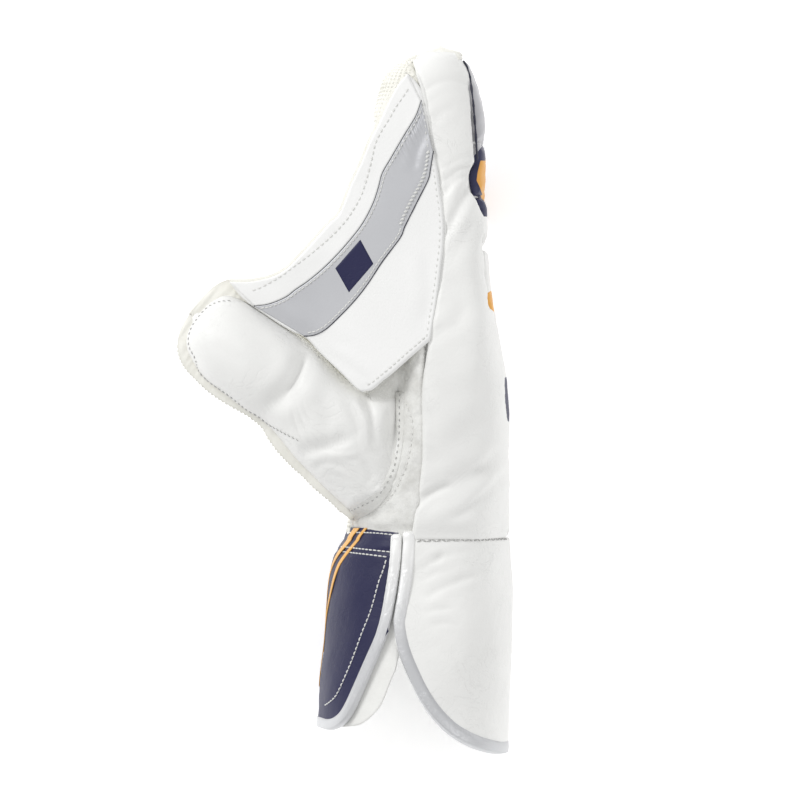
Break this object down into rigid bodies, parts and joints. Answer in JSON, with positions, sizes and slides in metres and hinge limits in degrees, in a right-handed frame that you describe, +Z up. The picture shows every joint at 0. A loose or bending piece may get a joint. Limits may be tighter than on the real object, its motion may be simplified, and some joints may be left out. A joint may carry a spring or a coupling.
{
  "type": "wicketkeeping glove",
  "caption": "Right-hand wicketkeeping glove of white leather with a pimpled rubber palm, a catching web between thumb and index finger, and a two-part cuff.",
  "frame": {"origin": "middle of the glove's footprint on the surface that it lies on", "axes": "+X towards the back of the hand, +Y towards the fingertips, +Z up, towards the thumb side"},
  "size_m": [0.1588, 0.3318, 0.1284],
  "materials": {
    "white_leather": "soft grain, padded",
    "catching_rubber": "matt, pimpled",
    "suede": "suede",
    "grey_band": "coated, slight sheen",
    "navy_leather": "coated, satin",
    "silver_binding": "coated, slight sheen",
    "lining": "soft, padded"
  },
  "bodies": {
    "root": {"hand_shell": "white_leather", "knuckle_wall": "white_leather", "little_stall": "white_leather", "ring_stall": "white_leather", "middle_stall": "white_leather", "index_stall": "white_leather", "thumb_back": "white_leather", "thumb_facing": "catching_rubber", "palm_facing": "catching_rubber", "thumb_gusset": "suede", "side_panel": "white_leather", "back_panel": "white_leather", "little_knuckle_roll": "white_leather", "little_middle_roll": "navy_leather", "little_tip_roll": "grey_band", "ring_knuckle_roll": "white_leather", "ring_middle_roll": "navy_leather", "ring_tip_roll": "grey_band", "middle_knuckle_roll": "white_leather", "middle_middle_roll": "navy_leather", "middle_tip_roll": "grey_band", "index_knuckle_roll": "white_leather", "index_middle_roll": "navy_leather", "index_tip_roll": "grey_band", "web_plate": "white_leather", "web_rim_band": "white_leather", "web_stripe": "grey_band", "back_cuff": "white_leather", "back_cuff_binding": "silver_binding", "palm_cuff": "navy_leather", "palm_cuff_binding": "silver_binding", "palm_cuff_lining": "lining"}
  },
  "joints": []
}
